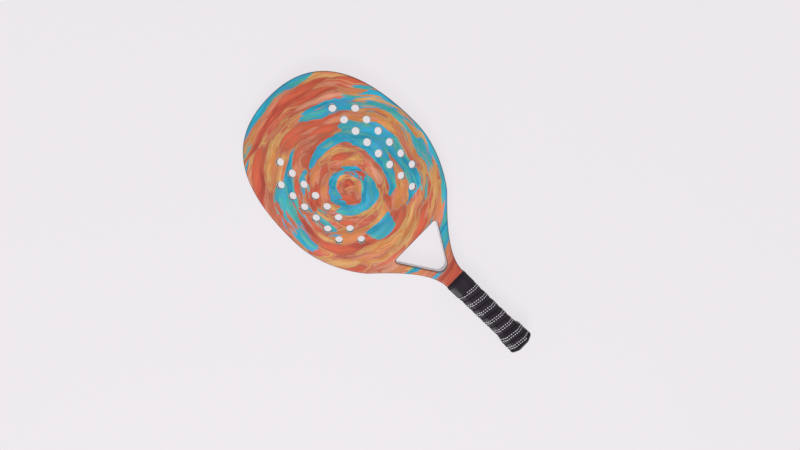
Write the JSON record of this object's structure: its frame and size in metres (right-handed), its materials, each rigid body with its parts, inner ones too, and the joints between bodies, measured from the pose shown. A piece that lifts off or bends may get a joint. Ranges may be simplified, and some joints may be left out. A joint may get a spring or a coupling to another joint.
{
  "type": "beach tennis racket",
  "caption": "Beach tennis racket: drilled foam-cored head between two laminates, hollow frame with an open throat, and a bevelled handle wound with stitched tape.",
  "frame": {"origin": "centre of the racket's bounding box in X and Y, at the level of its lowest point, the underside of the butt cap, with the racket lying on its back", "axes": "+Z out of the front face, +Y along the racket from the handle towards the tip of the head, +X to the right when the front face is seen with the head up"},
  "size_m": [0.224, 0.48, 0.0348],
  "materials": {
    "printed_lacquer": "fibreglass laminate with a painterly print under satin lacquer",
    "white_lacquer": "composite tube with off-white lacquer",
    "soft_foam": "closed-cell EVA foam, matt",
    "hard_foam": "rigid polyurethane foam",
    "shell_plastic": "moulded plastic, matt",
    "collar_rubber": "moulded rubber, matt black",
    "grip_leather": "synthetic leather tape with fine grain and white double stitching",
    "cap_plastic": "moulded plastic, satin black",
    "steel_wire": "bright steel wire"
  },
  "bodies": {
    "root": {"frame_tube": "white_lacquer", "bridge_tube": "white_lacquer", "throat_block": "white_lacquer", "foam_core": "soft_foam", "front_face": "printed_lacquer", "back_face": "printed_lacquer", "handle_foam": "hard_foam", "handle_shell_front": "shell_plastic", "handle_shell_back": "shell_plastic", "grip_collar": "collar_rubber", "grip_tape": "grip_leather", "butt_cap": "cap_plastic", "cap_staple_front": "steel_wire", "cap_staple_back": "steel_wire"}
  },
  "joints": []
}
